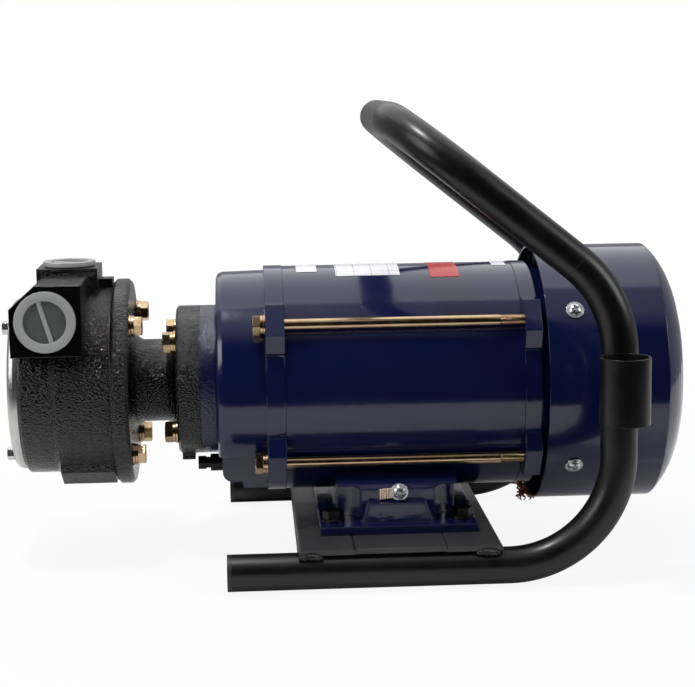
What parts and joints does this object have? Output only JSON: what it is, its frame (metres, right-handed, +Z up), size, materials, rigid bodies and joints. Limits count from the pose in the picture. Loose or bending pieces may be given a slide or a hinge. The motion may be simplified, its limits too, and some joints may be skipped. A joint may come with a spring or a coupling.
{
  "type": "fuel transfer pump",
  "caption": "Portable fuel transfer pump: vane pump with side and top ports, bracket-mounted on an electric motor, on a bent-tube carrying frame with a nozzle holder.",
  "frame": {"origin": "on the floor, midway between the two rails and below the middle of the motor's foot", "axes": "+X along the motor's axis from the pump to the fan, +Z up; the nozzle holder is on the -Y side"},
  "size_m": [0.4826, 0.3073, 0.3237],
  "materials": {
    "frame_paint": "satin black powder coat",
    "motor_paint": "high gloss deep navy enamel",
    "casting_paint": "gloss black over a rough casting",
    "cover_metal": "machined, satin",
    "yellow_zinc": "yellow passivated zinc",
    "zinc": "bright zinc",
    "steel": "ground",
    "black_steel": "black oxide",
    "copper": "bare copper",
    "bronze": "sintered bronze",
    "black_plastic": "matte black",
    "plug_plastic": "milky translucent grey",
    "gasket": "matte"
  },
  "bodies": {
    "unit": {"frame_side_near": "frame_paint", "frame_side_far": "frame_paint", "frame_handle": "frame_paint", "rail_end_plugs": "black_plastic", "cross_bar_front": "frame_paint", "cross_bar_rear": "frame_paint", "nozzle_holder": "frame_paint", "foot_bolts": "black_steel", "foot_nuts": "black_steel", "motor_foot": "motor_paint", "earth_screw": "zinc", "earth_tag": "copper", "stator_housing": "motor_paint", "stator_core": "steel", "stator_windings": "copper", "front_end_shield": "motor_paint", "rear_end_shield": "motor_paint", "tie_rods": "yellow_zinc", "drain_stud": "black_steel", "earth_lead": "copper", "fan_cover": "motor_paint", "fan_cover_screws": "zinc", "bearing_outer_rings": "steel", "terminal_box": "motor_paint", "terminal_lid": "motor_paint", "terminal_screws": "zinc", "cable_gland": "black_plastic", "pump_bracket": "casting_paint", "ring_bolts": "yellow_zinc", "flange_bolts": "yellow_zinc", "body_gasket": "gasket", "pump_body": "casting_paint", "cam_ring": "steel", "shaft_bush": "bronze", "shaft_seal": "gasket", "cover_gasket": "gasket", "pump_cover": "cover_metal", "cover_screws": "zinc", "relief_spring": "steel", "relief_cap": "yellow_zinc"},
    "rotor": {"cooling_fan": "black_plastic", "motor_shaft": "steel", "rotor_core": "steel", "bearing_inner_rings": "steel", "bearing_balls": "steel", "pump_rotor": "steel", "pump_vanes": "steel", "pump_shaft": "steel", "shaft_coupling": "steel"},
    "side_plug": {"side_port_plug": "plug_plastic"},
    "top_plug": {"top_port_plug": "plug_plastic"},
    "poppet": {"relief_poppet": "steel"}
  },
  "joints": [
    {"name": "rotor_spin", "type": "hinge", "parent": "unit", "child": "rotor", "pos_m": [0, 0, 0.124], "axis": [1, 0, 0], "continuous": true},
    {"name": "side_plug_pull", "type": "slide", "parent": "unit", "child": "side_plug", "axis": [0, -1, 0], "range_m": [0, 0.12]},
    {"name": "top_plug_pull", "type": "slide", "parent": "unit", "child": "top_plug", "axis": [0, 0, 1], "range_m": [0, 0.12]},
    {"name": "poppet_lift", "type": "slide", "parent": "unit", "child": "poppet", "axis": [0, 0, 1], "range_m": [0, 0.006], "stiffness_N_per_m": 2000, "springref_m": -0.01, "deforming": ["relief_spring"]}
  ]
}
